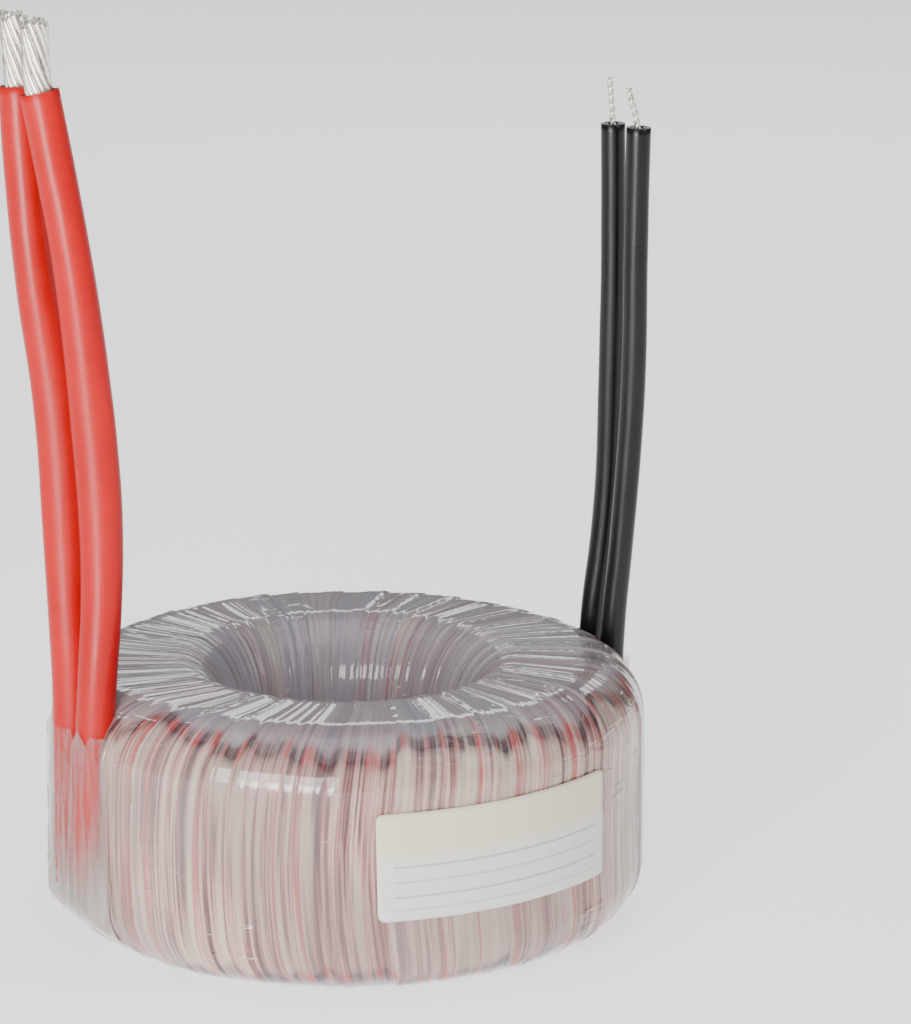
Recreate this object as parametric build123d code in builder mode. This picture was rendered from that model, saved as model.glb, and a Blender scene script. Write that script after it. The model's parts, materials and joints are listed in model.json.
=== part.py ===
from build123d import *
import os
from math import atan, atan2, cos, degrees, hypot, pi, radians, sin, tan

# Toroidal transformer, in millimetres. +Z is the axis of the ring, and the ring stands on z = 0.
# Azimuths are in degrees from +X towards +Y. The front of the object faces -Y.

# Strip-wound core
core_diameter = 112.0
core_hole_diameter = 72.0
core_height = 40.0
core_corner = 1.0
strip_end_step = 0.35
strip_end_arc = 24.0

# How much each layer builds up on the outer side, on the two ends and in the hole
layer_clearance = 0.15
core_tape = 0.8
primary_side = 3.0
primary_end = 3.4
primary_hole = 3.5
barrier_film = 0.5
secondary_side = 4.6
secondary_end = 3.2
secondary_hole = 3.8
film_side = 1.9
film_end = 1.0
film_hole = 1.4

# How the rounding of a layer grows with its build-up, and how many flats it has
shoulder_growth = 1.17
throat_growth = 1.09
throat_drop = 2.0
film_flats = 3
winding_flats = 2

# The wound layers are slices of ring, each with a straight chord
slice_count = 24
slice_half_angle = 180 / slice_count
slice_slew = 1.8

# Outer film: the turns of tape lie high and low by turns, and one edge of each is proud
turn_step = 0.3
bore_length = 17.0
bore_wall = 0.9
bore_lip = 0.25
tent_film = 0.5
pocket_clearance = 0.45
tent_top = 53.5
tent_foot = 5.0
tent_rise = 8.0
tent_foot_sink = 1.5
tent_spread = 6.5

# Leads: a sleeve, with a socket at its end where the bare strands stand out
red_sleeve_diameter = 8.7
red_socket_diameter = 7.1
red_socket_depth = 5.0
red_strand_diameter = 1.3
red_strand_rings = ((0.8, 3), (2.2, 9))
red_strand_twist = 3.5
black_sleeve_diameter = 5.6
black_socket_diameter = 2.6
black_socket_depth = 2.0
black_wire_diameter = 0.75
black_wire_rings = ((0.38, 2),)
black_wire_twist = 6.0
socket_clearance = 0.3
strand_sides = 6
strand_foot = 1.0

# Label on the outer wall
label_width = 60.0
label_height = 24.2
label_corner = 1.6
label_thickness = 0.15
label_azimuth = 300.65
label_middle_z = 31.6
label_tilt = 1.15
label_clearance = 0.1

# Routes of the leads, from the foot under the film to the end of the sleeve, and the bare tip
red_route_front = [
    (-56.9, -34.6, 16.0),
    (-55.9, -36.0, 52.0),
    (-52.2, -33.2, 94.0),
    (-57.0, -29.6, 146.0),
    (-64.9, -27.4, 192.4),
]
red_tip_front = (-65.7, -26.7, 208.0)
red_route_rear = [
    (-61.0, -26.4, 16.0),
    (-60.3, -27.4, 58.0),
    (-62.0, -23.6, 114.0),
    (-68.4, -21.0, 156.0),
    (-69.9, -19.4, 192.6),
]
red_tip_rear = (-70.7, -18.6, 208.5)
black_route_left = [
    (55.8, 35.8, 16.0),
    (56.0, 36.1, 54.0),
    (60.8, 36.1, 93.0),
    (61.4, 35.2, 134.0),
    (61.0, 34.2, 174.7),
]
black_tip_left = (60.1, 34.0, 185.8)
black_route_right = [
    (60.3, 26.6, 16.0),
    (61.2, 27.0, 62.0),
    (66.0, 25.8, 119.0),
    (66.3, 25.1, 175.3),
]
black_tip_right = (63.7, 25.0, 184.8)

# Build-ups from the core outwards, as (side, end, hole)
tape_gap = strip_end_step + layer_clearance
tape_inside = (tape_gap, tape_gap, tape_gap)
tape_outside = tuple(size + core_tape for size in tape_inside)
primary_inside = tuple(size + layer_clearance for size in tape_outside)
primary_outside = (
    primary_inside[0] + primary_side,
    primary_inside[1] + primary_end,
    primary_inside[2] + primary_hole,
)
barrier_inside = tuple(size + layer_clearance for size in primary_outside)
barrier_outside = tuple(size + barrier_film for size in barrier_inside)
secondary_inside = tuple(size + layer_clearance for size in barrier_outside)
secondary_outside = (
    secondary_inside[0] + secondary_side,
    secondary_inside[1] + secondary_end,
    secondary_inside[2] + secondary_hole,
)
film_inside = tuple(size + layer_clearance for size in secondary_outside)
film_outside = (
    film_inside[0] + film_side,
    film_inside[1] + film_end,
    film_inside[2] + film_hole,
)
core_radius = core_diameter / 2
core_hole_radius = core_hole_diameter / 2
body_radius = core_radius + film_outside[0]
body_height = core_height + 2 * film_outside[1]
bore_radius = core_hole_radius - film_outside[2]
middle_z = body_height / 2
slice_sector_width = 4 * body_radius * tan(radians(slice_half_angle))


def ring_points(build, flats):
    """The half section of the ring with one layer's build-up, as (distance from axis, height)."""
    side, end, hole = build
    outer = core_radius + side
    inner = core_hole_radius - hole
    half = core_height / 2 + end
    shoulder = core_corner + shoulder_growth * side
    reach = core_corner + throat_growth * hole
    drop = core_corner + throat_drop * end
    upper = []
    for step in range(flats + 1):
        turn = radians(90 * step / flats)
        upper.append((outer - shoulder + shoulder * cos(turn), half - shoulder + shoulder * sin(turn)))
    for step in range(flats + 1):
        turn = radians(90 + 90 * step / flats)
        upper.append((inner + reach + reach * cos(turn), half - drop + drop * sin(turn)))
    return upper + [(across, -up) for across, up in reversed(upper)]


def square_points(build):
    """The same for a layer with square corners."""
    side, end, hole = build
    outer = core_radius + side
    inner = core_hole_radius - hole
    half = core_height / 2 + end
    return [(outer, -half), (outer, half), (inner, half), (inner, -half)]


def slice_plane(slew):
    """The upright plane through the axis, slewed from azimuth 0."""
    turn = radians(slew)
    return Plane(origin=(0, 0, middle_z), x_dir=(cos(turn), sin(turn), 0), z_dir=(sin(turn), -cos(turn), 0))


def slice_sector():
    """The sector of one slice, as a sketch on the ground."""
    far = slice_sector_width / (2 * tan(radians(slice_half_angle)))
    with BuildSketch() as sector:
        with BuildLine():
            Polyline((0, 0), (far, -slice_sector_width / 2), (far, slice_sector_width / 2), close=True)
        make_face()
    return sector.sketch


def solid_slice(points, slew=0.0):
    """One slice of ring, with straight sides."""
    reach = slice_sector_width / 2
    with BuildPart() as piece:
        with BuildSketch(slice_plane(slew).offset(-reach)):
            with BuildLine():
                Polyline(*points, close=True)
            make_face()
        extrude(amount=2 * reach)
        add(slice_sector())
        extrude(amount=body_height, mode=Mode.INTERSECT)
    return piece.part


def layer_slice(outside, inside, slew=0.0):
    """One slice of a wound layer, between two outlines."""
    with BuildPart() as piece:
        add(solid_slice(outside, slew))
        add(solid_slice(inside), mode=Mode.SUBTRACT)
    return piece.part


def lead_path(route):
    """Straight runs joined by tangent arcs, each arc as large as its two runs allow."""
    points = [Vector(*point) for point in route]
    radii = []
    for before, here, after in zip(points, points[1:], points[2:]):
        run_in = here - before
        run_out = after - here
        turn = radians(run_in.get_angle(run_out))
        radii.append(0.45 * min(run_in.length, run_out.length) / tan(turn / 2))
    with BuildLine() as line:
        FilletPolyline(*points, radius=radii)
    print("arc radii", [round(radius) for radius in radii])
    return line.wires()[0]


def start_plane(path):
    """The plane across the start of a path."""
    return Plane(origin=path @ 0, z_dir=path % 0)


def tube(path, radius):
    """A round rod along a path."""
    with BuildPart() as swept:
        with BuildSketch(start_plane(path)):
            Circle(radius)
        sweep(path=path)
    print("rod volume", round(swept.part.volume), "of", round(pi * radius**2 * path.length))
    return swept.part


def strands(base, tip, rings, diameter, twist):
    """The bare end of a lead: straight strands in rings, each leaning round the middle."""
    run = Vector(*tip) - base
    axis_plane = Plane(origin=base, z_dir=run)
    with BuildPart() as bundle:
        for radius, count in rings:
            lean = degrees(atan(radius * radians(twist)))
            with Locations(axis_plane.offset(run.length / 2)):
                with PolarLocations(radius, count):
                    with Locations(Location((0, 0, 0), (lean, 0, 0))):
                        add(strand(diameter, run.length))
        with BuildSketch(axis_plane):
            RegularPolygon(max(radius for radius, count in rings) + diameter / 2, 2 * strand_sides)
        extrude(amount=strand_foot)
    return bundle.part


def strand(diameter, length):
    """One bare wire, with flat sides, standing about its middle."""
    with BuildPart() as wire:
        with BuildSketch(Plane.XY.offset(-length / 2)):
            RegularPolygon(diameter / 2, strand_sides)
        extrude(amount=length)
    return wire.part


def lead_tent(routes, sleeve_diameter):
    """The film drawn over a pair of leads and down to the wall on both sides of them."""
    over_sleeve = sleeve_diameter / 2 + pocket_clearance + tent_film
    feet = [route[0] for route in routes]
    angles = [degrees(atan2(foot[1], foot[0])) for foot in feet]
    sides = (min(angles) - tent_spread, max(angles) + tent_spread)
    wall = body_radius - 2 * tent_film
    widest = max(hypot(foot[0], foot[1]) for foot in feet) + over_sleeve
    foot_reach = core_radius + film_inside[0] - tent_foot_sink
    with BuildPart() as tent:
        with BuildSketch(Plane.XY.offset(tent_foot)):
            with Locations(*[(foot[0], foot[1]) for foot in feet]):
                Circle(over_sleeve)
            for azimuth in sides:
                for reach in (wall, core_radius):
                    turn = radians(azimuth)
                    with Locations((reach * cos(turn), reach * sin(turn))):
                        Circle(tent_film)
            make_hull()
        extrude(amount=tent_top - tent_foot)
        with BuildSketch(Plane.XZ):
            with BuildLine():
                foot_edge = (foot_reach, tent_foot)
                Polyline(foot_edge, (widest, tent_foot), (widest, tent_foot + tent_rise), close=True)
            make_face()
        revolve(axis=Axis.Z, mode=Mode.SUBTRACT)
        with PolarLocations(0, slice_count):
            add(film_room, mode=Mode.SUBTRACT)
    return tent.part


def lead_pocket(path, sleeve_diameter):
    """A straight bore round the foot of a lead, wide enough for the first of its bend."""
    foot = path @ 0
    upper = [path @ (step / 100) for step in range(100)]
    mouth = next(point for point in upper if point.Z > tent_top)
    with BuildPart() as pocket:
        with BuildSketch(Plane(origin=foot, z_dir=mouth - foot).offset(-pocket_clearance)):
            Circle(sleeve_diameter / 2 + pocket_clearance)
        extrude(amount=(mouth - foot).length + sleeve_diameter)
    return pocket.part


# Strip-wound core: a plain ring, with the outer end of the strip lying as a low step on its side
with BuildPart() as core:
    with BuildSketch(Plane.XZ):
        with Locations(((core_radius + core_hole_radius) / 2, middle_z)):
            Rectangle(core_radius - core_hole_radius, core_height)
    revolve(axis=Axis.Z)
    with BuildSketch(Plane.XZ):
        with Locations((core_radius, middle_z)):
            Rectangle(2 * strip_end_step, core_height - 2 * core_corner)
    revolve(axis=Axis.Z, revolution_arc=strip_end_arc)
core.part.label = "core"

# Tape on the core
tape_slice = layer_slice(square_points(tape_outside), square_points(tape_inside))
with BuildPart() as core_tape_wrap:
    with PolarLocations(0, slice_count):
        add(tape_slice)
core_tape_wrap.part.label = "core_tape"

# Primary winding: fine wire over the whole ring
primary_slice = layer_slice(ring_points(primary_outside, winding_flats), square_points(primary_inside))
with BuildPart() as primary_winding:
    with PolarLocations(0, slice_count):
        add(primary_slice)
primary_winding.part.label = "primary_winding"

# Film between the windings
barrier_slice = layer_slice(ring_points(barrier_outside, winding_flats), ring_points(barrier_inside, winding_flats))
with BuildPart() as winding_barrier:
    with PolarLocations(0, slice_count):
        add(barrier_slice)
winding_barrier.part.label = "winding_barrier"

# Paths of the leads
red_routes = (red_route_front, red_route_rear)
black_routes = (black_route_left, black_route_right)
red_paths = [lead_path(route) for route in red_routes]
black_paths = [lead_path(route) for route in black_routes]
lead_pairs = (
    (red_routes, red_paths, red_sleeve_diameter),
    (black_routes, black_paths, black_sleeve_diameter),
)

# Secondary winding: flat bundles of wire, each lying with one edge on the bundle beside it
slewed_share = cos(radians(slice_half_angle + slice_slew)) / cos(radians(slice_half_angle))
bundle_side = (core_radius + secondary_outside[0]) * slewed_share - core_radius - layer_clearance / 2
bundle_hole = secondary_outside[2] - layer_clearance
bundle_points = ring_points((bundle_side, secondary_outside[1], bundle_hole), winding_flats)
bundle_slice = layer_slice(bundle_points, ring_points(secondary_inside, winding_flats), slice_slew)
with BuildPart() as secondary_winding:
    with PolarLocations(0, slice_count):
        add(bundle_slice)
    for routes, paths, sleeve_diameter in lead_pairs:
        for path in paths:
            add(lead_pocket(path, sleeve_diameter), mode=Mode.SUBTRACT)
secondary_winding.part.label = "secondary_winding"

# Outer film: turns of tape round the ring, the true round wall of the bore, and the two tents
film_room = solid_slice(ring_points(film_inside, winding_flats))
turn_side = body_radius * cos(radians(slice_half_angle + slice_slew)) - core_radius
turn_hole = film_outside[2] - bore_lip
turns = []
for drop in (0, turn_step):
    turn_build = (turn_side, film_outside[1] - drop, turn_hole - drop)
    turns.append(layer_slice(ring_points(turn_build, film_flats), ring_points(film_inside, winding_flats), slice_slew))
high_turn, low_turn = turns
with BuildPart() as outer_film:
    with PolarLocations(0, slice_count // 2):
        add(high_turn)
    with PolarLocations(0, slice_count // 2, start_angle=2 * slice_half_angle):
        add(low_turn)
    with BuildSketch(Plane.XY.offset(middle_z - bore_length / 2)):
        Circle(bore_radius + bore_wall)
        Circle(bore_radius, mode=Mode.SUBTRACT)
    extrude(amount=bore_length)
    for routes, paths, sleeve_diameter in lead_pairs:
        add(lead_tent(routes, sleeve_diameter))
        for path in paths:
            add(lead_pocket(path, sleeve_diameter), mode=Mode.SUBTRACT)
outer_film.part.label = "outer_film"

# Leads: a sleeve, and the bare strands that stand out of the socket at its end
lead_parts = []
red_tip_sizes = (red_strand_rings, red_strand_diameter, red_strand_twist)
black_tip_sizes = (black_wire_rings, black_wire_diameter, black_wire_twist)
red_socket = (red_socket_diameter, red_socket_depth)
black_socket = (black_socket_diameter, black_socket_depth)
red_sizes = (red_sleeve_diameter, red_socket, red_tip_sizes)
black_sizes = (black_sleeve_diameter, black_socket, black_tip_sizes)
leads = (
    ("secondary", "front", red_paths[0], red_tip_front, red_sizes),
    ("secondary", "rear", red_paths[1], red_tip_rear, red_sizes),
    ("primary", "left", black_paths[0], black_tip_left, black_sizes),
    ("primary", "right", black_paths[1], black_tip_right, black_sizes),
)
for winding, place, path, tip, (sleeve_diameter, socket, tip_sizes) in leads:
    socket_diameter, socket_depth = socket
    end = path @ 1
    inward = (path % 1) * -1
    with BuildPart() as sleeve:
        add(tube(path, sleeve_diameter / 2))
        with BuildSketch(Plane(origin=end, z_dir=inward)):
            Circle(socket_diameter / 2)
        extrude(amount=socket_depth, mode=Mode.SUBTRACT)
    sleeve.part.label = f"{winding}_sleeve_{place}"
    lead_parts.append(sleeve.part)
    with BuildPart() as wires:
        add(strands(end + inward * (socket_depth - socket_clearance), tip, *tip_sizes))
    wires.part.label = f"{winding}_strands_{place}"
    lead_parts.append(wires.part)

# Label: a sheet with round corners, bent round the outer wall
with BuildPart() as label:
    label_face = Plane(
        origin=(0, 0, label_middle_z),
        x_dir=(-sin(radians(label_azimuth)), cos(radians(label_azimuth)), 0),
        z_dir=(cos(radians(label_azimuth)), sin(radians(label_azimuth)), 0),
    )
    with BuildSketch(label_face):
        chord = 2 * body_radius * sin(label_width / (2 * body_radius))
        RectangleRounded(chord, label_height, label_corner, rotation=label_tilt)
    extrude(amount=2 * body_radius)
    with BuildSketch(Plane.XY):
        Circle(body_radius + label_clearance + label_thickness)
        Circle(body_radius + label_clearance, mode=Mode.SUBTRACT)
    extrude(amount=body_height, mode=Mode.INTERSECT)
label.part.label = "label"

os.makedirs("parts", exist_ok=True)
pieces = (core, core_tape_wrap, primary_winding, winding_barrier, secondary_winding, outer_film, label)
for part in [piece.part for piece in pieces] + lead_parts:
    print(part.label, part.is_valid, len(part.solids()), round(part.volume))
    export_step(part, f"parts/{part.label}.step")
print("body radius", body_radius, "height", body_height, "bore radius", bore_radius)
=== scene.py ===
import json
from math import atan2, cos, degrees, hypot, pi, radians, sin, sqrt
from random import Random

import bpy
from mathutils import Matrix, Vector, noise


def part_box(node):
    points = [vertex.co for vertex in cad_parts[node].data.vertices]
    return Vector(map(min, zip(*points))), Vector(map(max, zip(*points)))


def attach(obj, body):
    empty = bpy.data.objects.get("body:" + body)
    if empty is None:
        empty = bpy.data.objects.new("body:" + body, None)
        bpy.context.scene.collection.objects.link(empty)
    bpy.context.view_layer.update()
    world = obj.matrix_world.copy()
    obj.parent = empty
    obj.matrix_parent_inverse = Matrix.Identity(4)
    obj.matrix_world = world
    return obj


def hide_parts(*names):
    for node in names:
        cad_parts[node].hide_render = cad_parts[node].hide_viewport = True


# Toroidal transformer: hazy wound film over copper wire, four leads and a label.
# Lengths are in millimetres until the mesh is made, and azimuths in degrees from +X towards +Y.

MM = 0.001

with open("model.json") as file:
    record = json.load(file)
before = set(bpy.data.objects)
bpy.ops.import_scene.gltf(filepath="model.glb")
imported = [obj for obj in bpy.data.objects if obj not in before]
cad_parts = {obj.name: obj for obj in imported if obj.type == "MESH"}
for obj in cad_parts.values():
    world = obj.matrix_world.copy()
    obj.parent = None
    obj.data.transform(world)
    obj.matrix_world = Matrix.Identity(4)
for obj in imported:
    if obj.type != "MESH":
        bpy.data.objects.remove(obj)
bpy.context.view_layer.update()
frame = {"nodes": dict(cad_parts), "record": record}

# Sizes from the frame
_, ring_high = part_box("outer_film")
ring_radius = ring_high[1] / MM
ring_height = ring_high[2] / MM
bore_radius = frame["record"]["mounts"][0]["dims"]["r_mm"]

# Outline of the film: the rounding at its outer edge and at its throat
skin_room = 0.42
shoulder = 13.4
throat_reach = 13.1
throat_drop = 21.0
arc_steps = 40

# Turns of film: how many, how uneven, how high an edge stands, and how far they swirl and waver in degrees
turn_count = 38
turn_unevenness = 0.33
turn_step = 0.34
turn_swirl = 10.0
turn_waver = 1.1
turn_seed = 11
film_columns = 640
film_rows = 150

# Relief between the edges: pleats on the faces and on the wall, broad lumps, bundles of wire below
face_pleat = 0.26
wall_pleat = 0.10
film_lump = 0.30
film_bundle = 0.16
film_drop = 0.15

# Where the wrap of the wall ends, along the outline from the middle of the wall, and how ragged and soft
wall_wrap_end = 27.0
wall_wrap_ragged = 1.5
wall_wrap_uneven = 3.5
wall_wrap_soft = 4.5

# Leads
route_resolution = 28
sleeve_sides = 48
sleeve_lip = 0.16
sleeve_swell = 0.012
flat_heights = (60.0, 112.0, 165.0)
strand_sides = 12
strand_steps = 36
strand_fan = 0.06
strand_sway = 0.05
strand_spacing = 0.08
strand_cut = (-1.3, 0.2)
strand_end = 0.86
socket_depth = 9.0
red_radius = 4.35
red_wall = 0.8
red_flat = 0.13
red_strand_radius = 0.68
red_strand_rings = ((0.0, 1), (1.3, 6), (2.4, 11))
red_strand_twist = -7.6
black_radius = 2.8
black_wall = 1.75
black_flat = 0.02
black_wire_radius = 0.37
black_wire_rings = ((0.40, 2),)
black_wire_twist = 95.0

red_route_front = [
    (-56.9, -34.6, 16.0),
    (-55.5, -35.6, 52.0),
    (-52.4, -32.6, 91.0),
    (-55.0, -30.7, 128.0),
    (-59.0, -29.1, 162.0),
    (-64.9, -27.4, 192.4),
]
red_tip_front = (-65.9, -26.7, 208.0)
red_route_rear = [
    (-61.0, -26.4, 16.0),
    (-60.1, -27.2, 52.0),
    (-61.5, -24.6, 89.0),
    (-62.4, -22.9, 122.0),
    (-68.5, -21.0, 158.0),
    (-69.9, -19.4, 192.6),
]
red_tip_rear = (-70.7, -18.6, 208.5)
black_route_left = [
    (55.8, 35.8, 16.0),
    (56.0, 36.1, 52.0),
    (60.4, 36.2, 84.0),
    (61.0, 35.3, 116.0),
    (61.4, 34.7, 146.0),
    (61.0, 34.2, 174.7),
]
black_tip_left = (60.1, 34.0, 185.6)
black_route_right = [
    (60.3, 26.6, 16.0),
    (60.7, 27.0, 52.0),
    (63.9, 26.5, 85.0),
    (65.9, 26.0, 118.0),
    (65.8, 25.5, 148.0),
    (66.3, 25.1, 175.3),
]
black_tip_right = (63.9, 25.0, 184.6)

# Film drawn over the feet of the leads
tent_low = 5.0
tent_full = 14.0
tent_high = 53.2
tent_spread = 7.0
tent_slack = 0.45
tent_lift = 0.02
tent_wrinkle = 0.22
tent_columns = 72
tent_rows = 56
hull_steps = 16

# Label
label_azimuth = 300.65
label_arc = 50.9
label_middle = 31.6
label_height = 24.2
label_tilt = 1.15
label_corner = 1.6
label_outset = 0.16
label_thickness = 0.14
label_rows = 26
label_columns = 60

# Camera, in metres
camera_lens = 172.4
camera_place = (0.0, -1.0643, 0.3615)
camera_aim = (0.0249, 0.0181, 0.0881)


# ---------------------------------------------------------------- meshes


def mesh_object(name, points, faces, material, smooth=True):
    """A mesh object from points in millimetres."""
    mesh = bpy.data.meshes.new(name)
    mesh.from_pydata([(x * MM, y * MM, z * MM) for x, y, z in points], [], faces)
    mesh.polygons.foreach_set("use_smooth", [smooth] * len(faces))
    mesh.materials.append(material)
    mesh.update()
    made = bpy.data.objects.new(name, mesh)
    bpy.context.scene.collection.objects.link(made)
    return made


def grid_faces(rows, columns, wrap_rows=False, wrap_columns=False, start=0):
    """Quads of a grid of points stored row by row."""
    faces = []
    for row in range(rows if wrap_rows else rows - 1):
        below = start + row * columns
        above = start + (row + 1) % rows * columns
        for column in range(columns if wrap_columns else columns - 1):
            beside = (column + 1) % columns
            faces.append((below + column, below + beside, above + beside, above + column))
    return faces


def smoothstep(low, high, value):
    share = min(max((value - low) / (high - low), 0.0), 1.0)
    return share * share * (3 - 2 * share)


# ---------------------------------------------------------------- film over the ring


def ring_outline(count):
    """Equally spaced points (radius, height, way along) round the section, and its whole length."""
    outer = ring_radius - skin_room
    inner = bore_radius + skin_room
    half = ring_height / 2 - skin_room
    upper = [(outer, 0.0)]
    for step in range(arc_steps + 1):
        turn = radians(90 * step / arc_steps)
        across = outer - shoulder + shoulder * cos(turn)
        upper.append((across, half - shoulder + shoulder * sin(turn)))
    for step in range(arc_steps + 1):
        turn = radians(90 + 90 * step / arc_steps)
        across = inner + throat_reach + throat_reach * cos(turn)
        upper.append((across, half - throat_drop + throat_drop * sin(turn)))
    lower = [(across, -up) for across, up in reversed(upper[1:])]
    closed = upper + [(inner, 0.0)] + lower + [upper[0]]
    lengths = [0.0]
    for before, after in zip(closed, closed[1:]):
        lengths.append(lengths[-1] + hypot(after[0] - before[0], after[1] - before[1]))
    points = []
    piece = 0
    for step in range(count):
        want = lengths[-1] * step / count
        while lengths[piece + 1] < want:
            piece += 1
        share = (want - lengths[piece]) / (lengths[piece + 1] - lengths[piece])
        before, after = closed[piece], closed[piece + 1]
        across = before[0] + (after[0] - before[0]) * share
        up = before[1] + (after[1] - before[1]) * share
        points.append((across, up + ring_height / 2, want))
    return points, lengths[-1]


def wall_radius(height):
    """The film's outer radius at a height."""
    outer = ring_radius - skin_room
    half = ring_height / 2 - skin_room
    over = abs(height - ring_height / 2) - (half - shoulder)
    if over <= 0:
        return outer
    return outer - shoulder + sqrt(max(shoulder**2 - over**2, 0.0))


def turn_edges():
    """Azimuths where each turn of film starts, unevenly spaced, and a tone from 0 to 1 for each turn."""
    picker = Random(turn_seed)
    widths = [1 + turn_unevenness * (2 * picker.random() - 1) for _ in range(turn_count)]
    scale = 360 / sum(widths)
    edges = [0.0]
    for width in widths:
        edges.append(edges[-1] + width * scale)
    tones = [picker.random() for _ in range(turn_count)]
    return edges, tones


def ring_noise(x, y, scale, level):
    """Noise that closes on itself round the ring, because (x, y) lies on the unit circle."""
    return noise.noise(Vector((x * scale, y * scale, level)))


def film_mesh(material):
    """The wound film as one closed mesh, with the values that its material reads stored on its points."""
    outline, length = ring_outline(film_rows)
    edges, tones = turn_edges()
    points = []
    tone_values = []
    lap_values = []
    top_values = []
    wrap_values = []
    span = len(outline)
    for row, (across, up, along) in enumerate(outline):
        before = outline[row - 1]
        after = outline[(row + 1) % span]
        out_across = after[1] - before[1]
        out_up = before[0] - after[0]
        size = hypot(out_across, out_up)
        out_across, out_up = out_across / size, out_up / size
        share = row / span
        # how far the film has swirled, and how much it is gathered, from the wall to the hole
        inward = 0.5 - 0.5 * cos(2 * pi * share)
        way = sin(2 * pi * share)
        gathered = smoothstep(0.25, 0.95, inward)
        for column in range(film_columns):
            azimuth = 360 * column / film_columns
            turn = radians(azimuth)
            round_x, round_y = cos(turn), sin(turn)
            waver = ring_noise(round_x, round_y, 9, way)
            place = (azimuth - turn_swirl * inward + turn_waver * waver * (1 - gathered)) % 360
            index = min(int(place / 360 * turn_count), turn_count - 1)
            while edges[index] > place:
                index -= 1
            while edges[index + 1] <= place:
                index += 1
            lap = (place - edges[index]) / (edges[index + 1] - edges[index])
            tone = tones[index]
            swirled = radians(azimuth - turn_swirl * inward)
            pleat_x, pleat_y = cos(swirled), sin(swirled)
            pleat = ring_noise(pleat_x, pleat_y, 9, way * 0.4)
            crease = ring_noise(pleat_x, pleat_y, 19, 3 + way * 0.6)
            ridge = (1 - min(abs(pleat) * 2.2, 1)) ** 3 + 0.6 * (1 - min(abs(crease) * 2.4, 1)) ** 3
            lump = ring_noise(round_x, round_y, 3.4, way * 0.9)
            bundle = ring_noise(round_x, round_y, 8, way * 0.3)
            rise = turn_step * (1 - lap) ** 1.4 * (0.5 + 0.8 * tone) * (1 + 0.25 * gathered)
            rise += face_pleat * ridge * gathered + wall_pleat * ridge * (1 - gathered)
            rise += film_lump * lump * (1 - 0.6 * gathered) + film_bundle * bundle
            rise = min(rise - film_drop, skin_room - 0.02)
            radius = across + rise * out_across
            height = min(max(up + rise * out_up, 0.0), ring_height)
            points.append((radius * round_x, radius * round_y, height))
            tone_values.append(tone)
            lap_values.append(lap)
            ragged = 3.2 * ring_noise(round_x, round_y, 6, 7)
            ragged += 1.6 * ring_noise(round_x, round_y, 22, 9)
            edge = wall_wrap_end + wall_wrap_ragged * ragged + wall_wrap_uneven * (tone - 0.5)
            reach = min(along, length - along)
            top_values.append(smoothstep(edge - wall_wrap_soft, edge + wall_wrap_soft, reach))
            wrap_values.append((ring_radius * pleat_x, ring_radius * pleat_y, length / (2 * pi) * way))
    film = mesh_object("film_wrap", points, grid_faces(span, film_columns, True, True), material)
    mesh = film.data
    for name, values in (("tone", tone_values), ("lap", lap_values), ("top", top_values)):
        mesh.attributes.new(name, "FLOAT", "POINT").data.foreach_set("value", values)
    wrap = mesh.attributes.new("wrap", "FLOAT_VECTOR", "POINT")
    wrap.data.foreach_set("vector", [number for values in wrap_values for number in values])
    layer = mesh.uv_layers.new(name="turns")
    corners = []
    for row in range(span):
        for column in range(film_columns):
            left, right = column / film_columns, (column + 1) / film_columns
            low, high = row / span, (row + 1) / span
            corners += [left, low, right, low, right, high, left, high]
    layer.data.foreach_set("uv", corners)
    return film


# ---------------------------------------------------------------- leads


def route_line(name, route):
    """Points of the smooth NURBS line that has a lead's route as its control points."""
    curve = bpy.data.curves.new(name, "CURVE")
    curve.dimensions = "3D"
    spline = curve.splines.new("NURBS")
    spline.points.add(len(route) - 1)
    for point, place in zip(spline.points, route):
        point.co = (*place, 1)
    spline.order_u = 3
    spline.use_endpoint_u = True
    spline.resolution_u = route_resolution
    holder = bpy.data.objects.new(name, curve)
    bpy.context.scene.collection.objects.link(holder)
    bpy.context.view_layer.update()
    mesh = bpy.data.meshes.new_from_object(holder)
    points = [vertex.co.copy() for vertex in mesh.vertices]
    bpy.data.objects.remove(holder)
    bpy.data.meshes.remove(mesh)
    return points


def line_frames(points):
    """(point, across, deep, along) at each point, with across as near to +X as it can be."""
    frames = []
    for index, point in enumerate(points):
        before = points[max(index - 1, 0)]
        after = points[min(index + 1, len(points) - 1)]
        along = (after - before).normalized()
        across = (Vector((1, 0, 0)) - along * along.x).normalized()
        frames.append((point, across, along.cross(across), along))
    return frames


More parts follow.
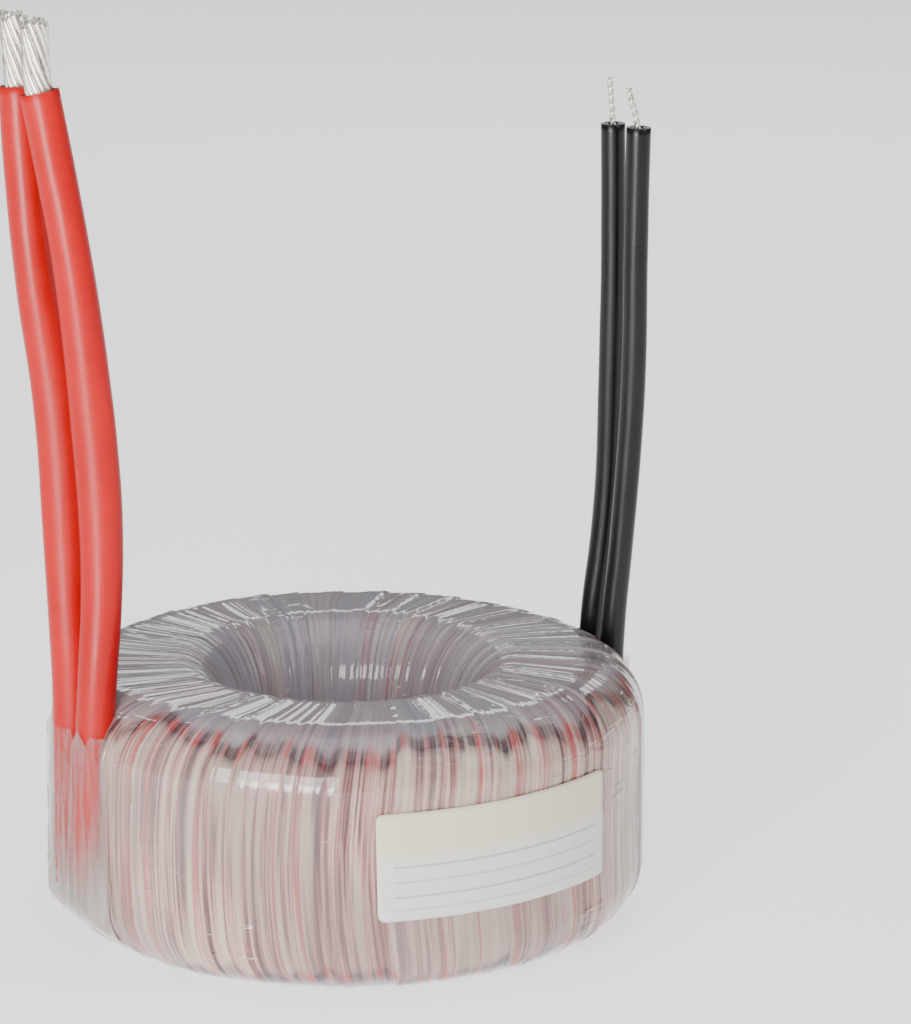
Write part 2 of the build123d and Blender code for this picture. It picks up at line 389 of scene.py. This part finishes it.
def sleeve_mesh(name, line, radius, wall, flat_share, seed, material):
    """An insulating sleeve along a line, flattened a little on the way, with an open end."""
    frames = line_frames(line)
    rings = []
    low, middle, high = flat_heights
    for place, across, deep, _ in frames:
        flat = smoothstep(low, middle, place.z) * (1 - smoothstep(middle, high, place.z))
        wide = 1 + flat_share * flat
        rings.append((place, across, deep, radius * wide, radius / wide, 1.0))
    end, across, deep, along = frames[-1]
    lip = sleeve_lip
    bevel = lip * 0.3
    rim = ((bevel, -bevel), (lip, 0.0), (wall - lip, 0.0), (wall - bevel, bevel), (wall, lip))
    for inset, depth in (*rim, (wall, socket_depth)):
        rings.append((end - along * depth, across, deep, radius - inset, radius - inset, 0.0))
    points = []
    sides = sleeve_sides
    for place, across, deep, wide, thick, rough in rings:
        for side in range(sides):
            turn = 2 * pi * side / sides
            sample = Vector((cos(turn) * 1.3 + seed, sin(turn) * 1.3, place.z * 0.09))
            swell = 1 + sleeve_swell * rough * noise.noise(sample)
            spot = place + (across * (wide * cos(turn)) + deep * (thick * sin(turn))) * swell
            points.append(tuple(spot))
    faces = grid_faces(len(rings), sides, wrap_columns=True)
    faces.append(tuple(range(sides))[::-1])
    faces.append(tuple(range((len(rings) - 1) * sides, len(rings) * sides)))
    return mesh_object(name, points, faces, material)


def strand_mesh(name, line, tip, rings, radius, twist, seed, material):
    """Bare strands that stand out of the end of a sleeve, twisted together and cut unevenly."""
    picker = Random(seed)
    end = line[-1]
    inward = (line[-1] - line[-4]).normalized()
    base = end - inward * (socket_depth - 1)
    tip = Vector(tip)
    points = []
    faces = []
    sides = strand_sides
    steps = strand_steps
    length = (tip - end).length + socket_depth - 1
    for strand_reach, count in rings:
        for number in range(count):
            start = 2 * pi * number / count + picker.uniform(-strand_spacing, strand_spacing)
            cut = length + picker.uniform(*strand_cut)
            first = len(points)
            centres = []
            for step in range(steps + 1):
                share = step / steps
                run = cut * share
                # straight up the socket, then leaning over to the tip
                lean = smoothstep(0.25, 1.0, share)
                middle = base + inward * run * (1 - lean) + (tip - base) * (run / length) * lean
                angle = start + radians(twist) * run
                reach = strand_reach * (1 + strand_fan * smoothstep(0.75, 1.0, share))
                sample = Vector((number * 3.1 + seed, run * 0.15, strand_reach))
                reach *= 1 + strand_sway * noise.noise(sample)
                centres.append((middle, angle, reach))
            axis = (tip - end).normalized()
            across = (Vector((1, 0, 0)) - axis * axis.x).normalized()
            deep = axis.cross(across)
            spots = []
            for middle, angle, reach in centres:
                spots.append(middle + (across * cos(angle) + deep * sin(angle)) * reach)
            for index, (place, side_a, side_b, _) in enumerate(line_frames(spots)):
                size = radius * (strand_end if index == steps else 1.0)
                for side in range(sides):
                    turn = 2 * pi * side / sides
                    points.append(tuple(place + (side_a * cos(turn) + side_b * sin(turn)) * size))
            faces += grid_faces(steps + 1, sides, wrap_columns=True, start=first)
            faces.append(tuple(first + side for side in range(sides))[::-1])
            last = first + steps * sides
            faces.append(tuple(last + side for side in range(sides)))
    return mesh_object(name, points, faces, material)


def centre_at(line, height):
    """Where a lead's line crosses a height."""
    for before, after in zip(line, line[1:]):
        if before.z <= height <= after.z:
            return before.lerp(after, (height - before.z) / (after.z - before.z))
    return line[0] if height < line[0].z else line[-1]


def hull_reach(spots, azimuth):
    """Distance from the axis to the convex hull of some spots, along an azimuth."""
    ray = (cos(radians(azimuth)), sin(radians(azimuth)))
    best = 0.0
    for number, first in enumerate(spots):
        for second in spots[number + 1 :]:
            edge = (second[0] - first[0], second[1] - first[1])
            cross = ray[0] * edge[1] - ray[1] * edge[0]
            if abs(cross) < 1e-9:
                continue
            share = (first[1] * ray[0] - first[0] * ray[1]) / cross
            if 0 <= share <= 1:
                reach = (first[0] + edge[0] * share) * ray[0] + (first[1] + edge[1] * share) * ray[1]
                best = max(best, reach)
    return best


def tent_mesh(name, lines, radius, seed, material):
    """Clear film drawn tight over a pair of leads and down to the wall on both sides."""
    feet = [degrees(atan2(line[0].y, line[0].x)) % 360 for line in lines]
    sides = (min(feet) - tent_spread, max(feet) + tent_spread)
    columns = tent_columns
    rows = tent_rows
    points = []
    for row in range(rows):
        share = row / (rows - 1)
        base_height = tent_low + (tent_high - tent_low) * share
        spots = []
        for line in lines:
            centre = centre_at(line, base_height)
            for step in range(hull_steps):
                turn = 2 * pi * step / hull_steps
                reach = radius + tent_slack
                spots.append((centre.x + reach * cos(turn), centre.y + reach * sin(turn)))
        for azimuth in sides:
            turn = radians(azimuth)
            wall = wall_radius(base_height)
            spots.append((wall * cos(turn), wall * sin(turn)))
        for column in range(columns):
            azimuth = sides[0] + (sides[1] - sides[0]) * column / (columns - 1)
            inset = min(column, columns - 1 - column) / (columns - 1)
            flat = wall_radius(base_height) + tent_lift
            pull = smoothstep(tent_low, tent_full, base_height) * smoothstep(0.0, 0.12, inset)
            reach = max(hull_reach(spots, azimuth), flat)
            wrinkle = noise.noise(Vector((azimuth * 0.55 + seed, base_height * 0.07, 2)))
            slanted = Vector((azimuth * 0.9 + base_height * 0.22 + seed, base_height * 0.16, 5))
            wrinkle += 0.7 * noise.noise(slanted)
            reach = flat + (reach - flat) * pull + tent_wrinkle * wrinkle * pull
            ragged = 2.0 * noise.noise(Vector((azimuth * 0.5, seed, 1)))
            ragged += noise.noise(Vector((azimuth * 1.7, seed, 4)))
            height = base_height + (ragged - 1.0) * smoothstep(0.6, 1.0, share)
            turn = radians(azimuth)
            points.append((reach * cos(turn), reach * sin(turn), height))
    return mesh_object(name, points, grid_faces(rows, columns), material)


# ---------------------------------------------------------------- label


def label_mesh(material):
    """A thin sheet with round corners, bent round the wall."""
    outer = ring_radius + label_outset
    rows, columns = label_rows, label_columns
    half_wide = radians(label_arc / 2)
    half_high = label_height / 2
    points = []
    shares = []
    for layer in (0, 1):
        for row in range(rows):
            for column in range(columns):
                across = 2 * column / (columns - 1) - 1
                up = 2 * row / (rows - 1) - 1
                x = across * half_wide * outer
                y = up * half_high
                # pull the corners in to their radius
                over_x = abs(x) - (half_wide * outer - label_corner)
                over_y = abs(y) - (half_high - label_corner)
                if over_x > 0 and over_y > 0:
                    size = max(over_x, over_y)
                    scale = size / hypot(over_x, over_y)
                    x = (abs(x) - over_x + over_x * scale) * (1 if x > 0 else -1)
                    y = (abs(y) - over_y + over_y * scale) * (1 if y > 0 else -1)
                tilt = radians(label_tilt)
                turned_x = x * cos(tilt) - y * sin(tilt)
                turned_y = x * sin(tilt) + y * cos(tilt)
                azimuth = radians(label_azimuth) + turned_x / outer
                reach = outer - label_thickness * (1 - layer)
                points.append((reach * cos(azimuth), reach * sin(azimuth), label_middle + turned_y))
                shares.append((0.5 + x / (2 * half_wide * outer), 0.5 + y / label_height))
    faces = grid_faces(rows, columns, start=rows * columns)
    faces += [face[::-1] for face in grid_faces(rows, columns)]
    edge = list(range(columns))
    edge += [row * columns + columns - 1 for row in range(1, rows)]
    edge += [(rows - 1) * columns + column for column in range(columns - 2, -1, -1)]
    edge += [row * columns for row in range(rows - 2, 0, -1)]
    for here, there in zip(edge, edge[1:] + edge[:1]):
        faces.append((here, there, there + rows * columns, here + rows * columns))
    label = mesh_object("label_sheet", points, faces, material)
    place = label.data.attributes.new("place", "FLOAT_VECTOR", "POINT")
    place.data.foreach_set("vector", [number for share in shares for number in (*share, 0.0)])
    return label


# ---------------------------------------------------------------- materials


class Nodes:
    """A material's node tree, with short calls for the nodes that are used here."""

    def __init__(self, name):
        self.material = bpy.data.materials.new(name)
        self.material.use_nodes = True
        self.tree = self.material.node_tree
        self.shader = self.tree.nodes["Principled BSDF"]

    def link(self, source, target):
        self.tree.links.new(source, target)

    def add(self, kind, **settings):
        node = self.tree.nodes.new(kind)
        for key, value in settings.items():
            setattr(node, key, value)
        return node

    def attribute(self, name, output="Fac"):
        return self.add("ShaderNodeAttribute", attribute_name=name).outputs[output]

    def put(self, socket, value):
        if isinstance(value, bpy.types.NodeSocket):
            self.link(value, socket)
        elif isinstance(value, (int, float)):
            socket.default_value = value
        elif len(value) == 3 and len(socket.default_value) == 4:
            socket.default_value = (*value, 1)
        else:
            socket.default_value = value

    def math(self, operation, first, second=0.0, clamp=False):
        node = self.add("ShaderNodeMath", operation=operation, use_clamp=clamp)
        self.put(node.inputs[0], first)
        self.put(node.inputs[1], second)
        return node.outputs[0]

    def stretch(self, vector, scale):
        node = self.add("ShaderNodeVectorMath", operation="MULTIPLY")
        self.put(node.inputs[0], vector)
        node.inputs[1].default_value = scale
        return node.outputs[0]

    def noise(self, vector, scale, detail=2.0, roughness=0.5, distortion=0.0):
        node = self.add("ShaderNodeTexNoise")
        self.put(node.inputs["Vector"], vector)
        node.inputs["Scale"].default_value = scale
        node.inputs["Detail"].default_value = detail
        node.inputs["Roughness"].default_value = roughness
        node.inputs["Distortion"].default_value = distortion
        return node.outputs["Fac"]

    def ramp(self, factor, stops, interpolation="LINEAR"):
        node = self.add("ShaderNodeValToRGB")
        node.color_ramp.interpolation = interpolation
        while len(node.color_ramp.elements) < len(stops):
            node.color_ramp.elements.new(0.5)
        for element, (position, colour) in zip(node.color_ramp.elements, stops):
            element.position = position
            element.color = (*colour, 1) if len(colour) == 3 else (colour[0],) * 3 + (1,)
        self.put(node.inputs["Fac"], factor)
        return node.outputs["Color"]

    def mix(self, factor, first, second, blend="MIX"):
        node = self.add("ShaderNodeMix", data_type="RGBA", blend_type=blend)
        self.put(node.inputs["Factor"], factor)
        self.put(node.inputs[6], first)
        self.put(node.inputs[7], second)
        return node.outputs[2]

    def bump(self, height, strength, distance, normal=None):
        node = self.add("ShaderNodeBump")
        node.inputs["Strength"].default_value = strength
        node.inputs["Distance"].default_value = distance
        self.put(node.inputs["Height"], height)
        if normal is not None:
            self.put(node.inputs["Normal"], normal)
        return node.outputs["Normal"]

    def shade(self, **values):
        for key, value in values.items():
            self.put(self.shader.inputs[key.replace("_", " ")], value)
        return self.material


def object_place(nodes):
    return nodes.add("ShaderNodeTexCoord").outputs["Object"]


def film_material():
    """Clear film wound over enamelled wire: streaks of wire below, haze and gloss above, with a painted
    reflection that darkens and blues the haze colour on the faces.
    """
    nodes = Nodes("film_over_wire")
    wrap = nodes.attribute("wrap", "Vector")
    tone = nodes.attribute("tone")
    lap = nodes.attribute("lap")
    top = nodes.attribute("top")
    # wires run round the section, so their streaks are long that way and narrow the other
    along = nodes.stretch(wrap, (1.0, 1.0, 0.02))
    broad = nodes.stretch(wrap, (1.0, 1.0, 0.10))
    fine = nodes.noise(along, 0.80, 4.0, 0.70)
    bundles = nodes.noise(broad, 0.14, 2.0, 0.55)
    zones = nodes.noise(wrap, 0.030, 1.0, 0.4)
    wire = nodes.ramp(
        fine,
        [
            (0.38, (0.045, 0.014, 0.016)),
            (0.44, (0.17, 0.050, 0.048)),
            (0.48, (0.33, 0.135, 0.118)),
            (0.53, (0.44, 0.26, 0.225)),
            (0.64, (0.52, 0.39, 0.33)),
        ],
    )
    cream = nodes.ramp(bundles, [(0.52, (0.0,)), (0.60, (1.0,))])
    wire = nodes.mix(nodes.math("MULTIPLY", cream, 0.72), wire, (0.50, 0.43, 0.33))
    red_line = nodes.noise(nodes.stretch(wrap, (1.0, 1.0, 0.012)), 0.52, 1.0, 0.3)
    red_share = nodes.ramp(red_line, [(0.62, (0.0,)), (0.67, (1.0,)), (0.71, (1.0,)), (0.75, (0.0,))])
    wire = nodes.mix(nodes.math("MULTIPLY", red_share, 0.85), wire, (0.40, 0.035, 0.032))
    mauve = nodes.ramp(zones, [(0.42, (1.0,)), (0.56, (0.0,))])
    wire = nodes.mix(nodes.math("MULTIPLY", mauve, 0.45), wire, (0.17, 0.095, 0.095))
    # haze: thin on the wall, thick and bluish on the faces, each turn its own; the faces' darker bluish
    # tint is a painted reflection of a grey-blue surrounding over the milky film
    turn_haze = nodes.math("MULTIPLY", tone, 0.22)
    edge_share = nodes.ramp(lap, [(0.0, (1.0,)), (0.06, (0.25,)), (0.3, (0.0,))])
    edge_haze = nodes.math("MULTIPLY", edge_share, 0.18)
    wall_haze = nodes.math("ADD", nodes.math("ADD", turn_haze, edge_haze), 0.04)
    milk = nodes.noise(nodes.stretch(wrap, (1.0, 1.0, 0.06)), 0.32, 3.0, 0.6)
    milk_haze = nodes.math("MULTIPLY", milk, 0.55)
    tone_haze = nodes.math("ADD", nodes.math("MULTIPLY", tone, 0.34), 0.20)
    face_haze = nodes.math("ADD", milk_haze, tone_haze, clamp=True)
    haze = nodes.mix(top, wall_haze, face_haze)
    # haze colour: pinkish on the wall; on the faces darker and bluish, milky film with a painted
    # reflection of a grey-blue surrounding
    haze_and_reflection_colour = nodes.mix(top, (0.50, 0.44, 0.42), (0.29, 0.295, 0.345))
    colour = nodes.mix(haze, wire, haze_and_reflection_colour)
    # a dark, reddish band along the shoulder, on the ragged edge between the wall's colour and the faces'
    # colour
    band = nodes.ramp(top, [(0.02, (0.0,)), (0.35, (1.0,)), (0.72, (0.9,)), (1.0, (0.0,))])
    band_streak = nodes.ramp(fine, [(0.42, (1.0,)), (0.64, (0.45,))])
    band_share = nodes.math("MULTIPLY", nodes.math("MULTIPLY", band, band_streak), 0.95)
    band_red = nodes.ramp(red_line, [(0.50, (0.0,)), (0.58, (1.0,))])
    band_colour = nodes.mix(band_red, (0.045, 0.020, 0.026), (0.30, 0.030, 0.032))
    colour = nodes.mix(band_share, colour, band_colour)
    streaks = nodes.bump(fine, 0.35, 0.0004)
    wrinkles = nodes.noise(nodes.stretch(wrap, (0.16, 0.16, 1.0)), 0.55, 2.0, 0.5)
    wrinkle_zone = nodes.ramp(zones, [(0.48, (0.0,)), (0.60, (1.0,))])
    wrinkled = nodes.math("MULTIPLY", nodes.ramp(wrinkles, [(0.60, (0.0,)), (0.70, (1.0,))]), wrinkle_zone)
    tight = nodes.noise(nodes.stretch(wrap, (1.0, 1.0, 0.05)), 0.24, 2.0, 0.5)
    gloss_height = nodes.math("ADD", tight, nodes.math("MULTIPLY", wrinkled, 1.6))
    gloss = nodes.bump(gloss_height, 0.75, 0.0006)
    nodes.link(gloss, nodes.shader.inputs["Coat Normal"])
    return nodes.shade(
        Base_Color=colour,
        Roughness=0.42,
        Normal=streaks,
        Coat_Weight=1.0,
        Coat_Roughness=0.07,
        Coat_IOR=1.5,
        Specular_IOR_Level=0.2,
    )


def tent_material():
    """The same film by itself: clear, with haze and folds."""
    nodes = Nodes("clear_film")
    place = object_place(nodes)
    folds = nodes.noise(nodes.stretch(place, (1.0, 1.0, 0.09)), 520.0, 3.0, 0.6, 0.3)
    parts = nodes.add("ShaderNodeSeparateXYZ")
    nodes.put(parts.inputs[0], place)
    foot = nodes.ramp(nodes.math("MULTIPLY", parts.outputs[2], 20.0), [(0.24, (0.60,)), (0.60, (0.0,))])
    haze = nodes.ramp(folds, [(0.40, (0.14,)), (0.66, (0.46,))])
    haze = nodes.math("ADD", haze, foot, clamp=True)
    gloss = nodes.bump(folds, 0.5, 0.0006)
    return nodes.shade(
        Base_Color=(0.34, 0.29, 0.27),
        Roughness=0.16,
        Normal=gloss,
        Alpha=haze,
        Coat_Weight=1.0,
        Coat_Roughness=0.05,
    )


def sleeve_material(name, colour, worn, roughness, coat):
    """Smooth plastic sleeving, lighter and duller in patches, with a fine grain."""
    nodes = Nodes(name)
    place = object_place(nodes)
    cloud = nodes.noise(place, 60.0, 3.0, 0.6)
    grain = nodes.noise(nodes.stretch(place, (1.0, 1.0, 0.12)), 900.0, 2.0, 0.5)
    shade = nodes.ramp(cloud, [(0.35, colour), (0.70, worn)])
    dull = nodes.ramp(cloud, [(0.3, (roughness,)), (0.7, (roughness + 0.12,))])
    normal = nodes.bump(grain, 0.12, 0.0003)
    return nodes.shade(
        Base_Color=shade,
        Roughness=dull,
        Normal=normal,
        Specular_IOR_Level=0.22,
        Coat_Weight=coat,
        Coat_Roughness=0.18,
    )


def strand_material():
    """Tinned wire, with copper showing in places and fine lines from drawing."""
    nodes = Nodes("tinned_strand")
    place = object_place(nodes)
    cloud = nodes.noise(place, 500.0, 3.0, 0.6)
    draw = nodes.noise(nodes.stretch(place, (1.0, 1.0, 0.1)), 2500.0, 2.0, 0.5)
    colour = nodes.ramp(
        cloud,
        [(0.25, (0.62, 0.52, 0.42)), (0.50, (0.86, 0.81, 0.73)), (0.75, (0.93, 0.90, 0.86))],
    )
    dull = nodes.ramp(cloud, [(0.3, (0.26,)), (0.7, (0.42,))])
    normal = nodes.bump(draw, 0.2, 0.0002)
    return nodes.shade(Base_Color=colour, Metallic=0.9, Roughness=dull, Normal=normal)


def label_material():
    """Off-white label with a cream band and plain grey rules."""
    nodes = Nodes("label_face")
    place = nodes.attribute("place", "Vector")
    parts = nodes.add("ShaderNodeSeparateXYZ")
    nodes.put(parts.inputs[0], place)
    across, up = parts.outputs[0], parts.outputs[1]
    fibre = nodes.noise(nodes.stretch(place, (60.0, 24.0, 1.0)), 6.0, 3.0, 0.6)
    paper = nodes.ramp(fibre, [(0.3, (0.62, 0.61, 0.56)), (0.7, (0.70, 0.69, 0.64))])
    cream = nodes.ramp(up, [(0.55, (0.0,)), (0.62, (1.0,))])
    colour = nodes.mix(nodes.math("MULTIPLY", cream, 0.75), paper, (0.66, 0.60, 0.42))
    inside = nodes.math("COMPARE", across, 0.5)
    inside.node.inputs[2].default_value = 0.44
    for height, strength in ((0.50, 0.55), (0.36, 0.40), (0.22, 0.55), (0.10, 0.30)):
        rule = nodes.math("COMPARE", up, height)
        rule.node.inputs[2].default_value = 0.010
        share = nodes.math("MULTIPLY", nodes.math("MULTIPLY", rule, inside), strength)
        colour = nodes.mix(share, colour, (0.22, 0.22, 0.21))
    return nodes.shade(Base_Color=colour, Roughness=0.35, Coat_Weight=0.4, Coat_Roughness=0.15)


def plain_material(name, first, second, scale, roughness, metallic=0.0, stretch=(1.0, 1.0, 1.0)):
    """For what lies inside: two tones and a fine grain."""
    nodes = Nodes(name)
    place = nodes.stretch(object_place(nodes), stretch)
    grain = nodes.noise(place, scale, 3.0, 0.6)
    colour = nodes.ramp(grain, [(0.35, first), (0.65, second)])
    normal = nodes.bump(grain, 0.3, 0.0003)
    return nodes.shade(Base_Color=colour, Roughness=roughness, Metallic=metallic, Normal=normal)


# ---------------------------------------------------------------- the object

film = film_mesh(film_material())
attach(film, "root")
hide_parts("outer_film")

red = sleeve_material("red_sleeve", (0.42, 0.0008, 0.0015), (0.50, 0.002, 0.003), 0.36, 0.20)
black = sleeve_material("black_sleeve", (0.004, 0.004, 0.0045), (0.008, 0.008, 0.008), 0.27, 0.12)
tinned = strand_material()

lead_table = (
    ("secondary", "front", red_route_front, red_tip_front, "red", 21),
    ("secondary", "rear", red_route_rear, red_tip_rear, "red", 35),
    ("primary", "left", black_route_left, black_tip_left, "black", 43),
    ("primary", "right", black_route_right, black_tip_right, "black", 57),
)
kinds = {
    "red": (
        (red_radius, red_wall, red_flat, red),
        (red_strand_rings, red_strand_radius, red_strand_twist),
    ),
    "black": (
        (black_radius, black_wall, black_flat, black),
        (black_wire_rings, black_wire_radius, black_wire_twist),
    ),
}
lines = {"red": [], "black": []}
for winding, side, route, tip, kind, seed in lead_table:
    (radius, wall, flat, material), (rings, strand_radius, twist) = kinds[kind]
    line = route_line(f"{winding}_line_{side}", route)
    lines[kind].append(line)
    sleeve = sleeve_mesh(f"{winding}_sleeve_{side}_tube", line, radius, wall, flat, seed, material)
    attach(sleeve, "root")
    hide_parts(f"{winding}_sleeve_{side}")
    bare_name = f"{winding}_strands_{side}_bare"
    bare = strand_mesh(bare_name, line, tip, rings, strand_radius, twist, seed, tinned)
    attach(bare, "root")
    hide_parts(f"{winding}_strands_{side}")

clear = tent_material()
for kind, name, radius, seed in (
    ("red", "secondary_tent", red_radius, 3),
    ("black", "primary_tent", black_radius, 8),
):
    tent = tent_mesh(name, lines[kind], radius, seed, clear)
    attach(tent, "root")

label = label_mesh(label_material())
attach(label, "root")
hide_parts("label")

inner_materials = {
    "core": plain_material(
        "core_steel", (0.30, 0.31, 0.32), (0.45, 0.46, 0.47), 60.0, 0.38, 1.0, (1.0, 1.0, 18.0)
    ),
    "core_tape": plain_material("core_tape", (0.66, 0.63, 0.52), (0.74, 0.71, 0.60), 120.0, 0.55),
    "primary_winding": plain_material(
        "enamelled_copper", (0.36, 0.10, 0.05), (0.55, 0.20, 0.11), 400.0, 0.32, 0.8, (1.0, 1.0, 0.05)
    ),
    "winding_barrier": plain_material("barrier_film", (0.74, 0.73, 0.66), (0.82, 0.81, 0.75), 150.0, 0.25),
}
inner_materials["secondary_winding"] = inner_materials["primary_winding"]
for name, material in inner_materials.items():
    node = frame["nodes"][name]
    for slot in node.material_slots:
        slot.material = material

# ---------------------------------------------------------------- floor, light and camera

floor_nodes = Nodes("floor")
floor_tone = floor_nodes.noise(object_place(floor_nodes), 3.0, 2.0, 0.5)
floor_colour = floor_nodes.ramp(floor_tone, [(0.3, (0.86, 0.86, 0.86)), (0.7, (0.88, 0.88, 0.88))])
floor_material = floor_nodes.shade(
    Base_Color=floor_colour, Roughness=0.6, Emission_Color=(1.0, 1.0, 1.0), Emission_Strength=1.15
)
floor_size = 6000.0
floor_height = -0.05
floor = mesh_object(
    "floor",
    [(x * floor_size, y * floor_size, floor_height) for x, y in ((-1, -1), (1, -1), (1, 1), (-1, 1))],
    [(0, 1, 2, 3)],
    floor_material,
)

world = bpy.context.scene.world or bpy.data.worlds.new("World")
bpy.context.scene.world = world
world.use_nodes = True
background = world.node_tree.nodes["Background"]
background.inputs["Color"].default_value = (0.95, 0.96, 1.0, 1)
background.inputs["Strength"].default_value = 0.20

target = Vector((0, 0, ring_height / 2))


def softbox(name, azimuth, elevation, distance, wide, high, watts):
    """A rectangular light that faces the middle of the ring."""
    turn, rise = radians(azimuth), radians(elevation)
    direction = Vector((cos(turn) * cos(rise), sin(turn) * cos(rise), sin(rise)))
    light = bpy.data.lights.new(name, "AREA")
    light.shape = "RECTANGLE"
    light.size = wide * MM
    light.size_y = high * MM
    light.energy = watts
    holder = bpy.data.objects.new(name, light)
    holder.location = (target + direction * distance) * MM
    holder.rotation_euler = direction.to_track_quat("Z", "Y").to_euler()
    bpy.context.scene.collection.objects.link(holder)


# name, azimuth, elevation, distance, width, height, watts
for light_row in (
    ("key", -115, 14, 1100, 640, 480, 12),
    ("glint", -112, 3, 1000, 330, 240, 5.5),
    ("overhead", -60, 82, 1000, 1100, 900, 4.0),
    ("right", -28, 38, 1200, 500, 700, 2.5),
    ("back", 84, 25, 1300, 900, 200, 2.2),
):
    softbox(*light_row)

camera_data = bpy.data.cameras.new("camera")
camera_data.lens = camera_lens
camera_data.sensor_width = 36.0
camera_data.clip_end = 50.0
camera = bpy.data.objects.new("camera", camera_data)
camera.location = camera_place
camera.rotation_euler = (camera.location - Vector(camera_aim)).to_track_quat("Z", "Y").to_euler()
bpy.context.scene.collection.objects.link(camera)
bpy.context.scene.camera = camera
